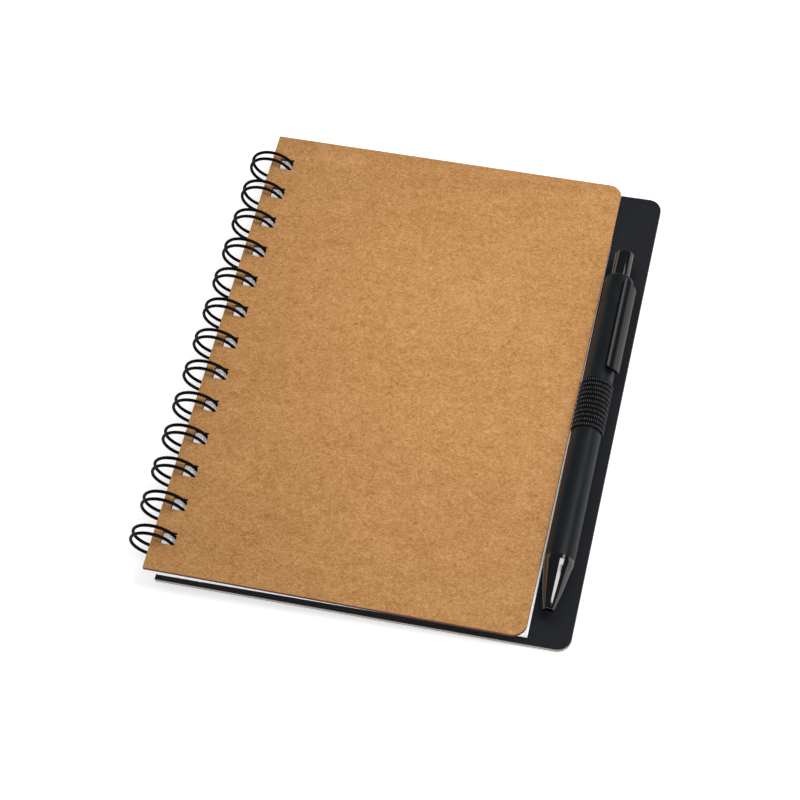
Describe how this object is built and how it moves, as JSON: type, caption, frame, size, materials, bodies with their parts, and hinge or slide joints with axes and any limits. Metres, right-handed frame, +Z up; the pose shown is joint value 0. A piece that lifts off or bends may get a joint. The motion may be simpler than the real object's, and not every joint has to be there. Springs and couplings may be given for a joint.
{
  "type": "spiral notebook",
  "caption": "Notebook with a kraft board cover, twin-loop wire spine and a click pen held in an elastic loop on a wider black back board",
  "frame": {"origin": "centre of the bounding box on the surface that the closed notebook lies on", "axes": "+X from the wire spine to the fore edge, +Y up the spine, +Z up from the surface that it lies on"},
  "size_m": [0.1458, 0.176, 0.016],
  "materials": {
    "kraft_board": "uncoated brown kraft board with fine fibres",
    "paper": "white uncoated leaves",
    "black_board": "black faced board with a pale brown cut edge",
    "coated_wire": "black nylon coated steel wire",
    "black_elastic": "ribbed woven elastic",
    "soft_touch_plastic": "soft touch coating",
    "gloss_black_plastic": "polished",
    "satin_black_plastic": "satin",
    "white_plastic": "moulded",
    "refill_plastic": "milky tube",
    "brass_tip": "turned",
    "spring_steel": "drawn wire"
  },
  "bodies": {
    "back": {"back_cover": "black_board", "wire_binding": "coated_wire", "pen_loop": "black_elastic"},
    "pages": {"page_block": "paper"},
    "front": {"front_cover": "kraft_board"},
    "pen": {"pen_barrel": "soft_touch_plastic", "nose_cone": "gloss_black_plastic", "top_cap": "soft_touch_plastic", "pen_clip": "satin_black_plastic", "return_spring": "spring_steel"},
    "button": {"plunger": "gloss_black_plastic"},
    "refill": {"click_rotor": "white_plastic", "refill_tube": "refill_plastic", "refill_tip": "brass_tip"}
  },
  "joints": [
    {"name": "pages_turn", "type": "hinge", "parent": "back", "child": "pages", "pos_m": [-0.06493, 0, 0.008], "axis": [0, -1, 0], "range_deg": [0, 180]},
    {"name": "front_cover_turn", "type": "hinge", "parent": "pages", "child": "front", "pos_m": [-0.06493, 0, 0.008], "axis": [0, -1, 0], "range_deg": [0, 180]},
    {"name": "pen_slide", "type": "slide", "parent": "back", "child": "pen", "axis": [0, 1, 0], "range_m": [0, 0.092]},
    {"name": "button_press", "type": "slide", "parent": "pen", "child": "button", "axis": [0, -1, 0], "range_m": [0, 0.005], "stiffness_N_per_m": 400, "springref_m": -0.003},
    {"name": "refill_slide", "type": "slide", "parent": "pen", "child": "refill", "axis": [0, -1, 0], "range_m": [0, 0.005], "deforming": ["return_spring"]}
  ],
  "couplings": [
    {"joint": "refill_slide", "follows": "button_press", "ratio": 1}
  ]
}
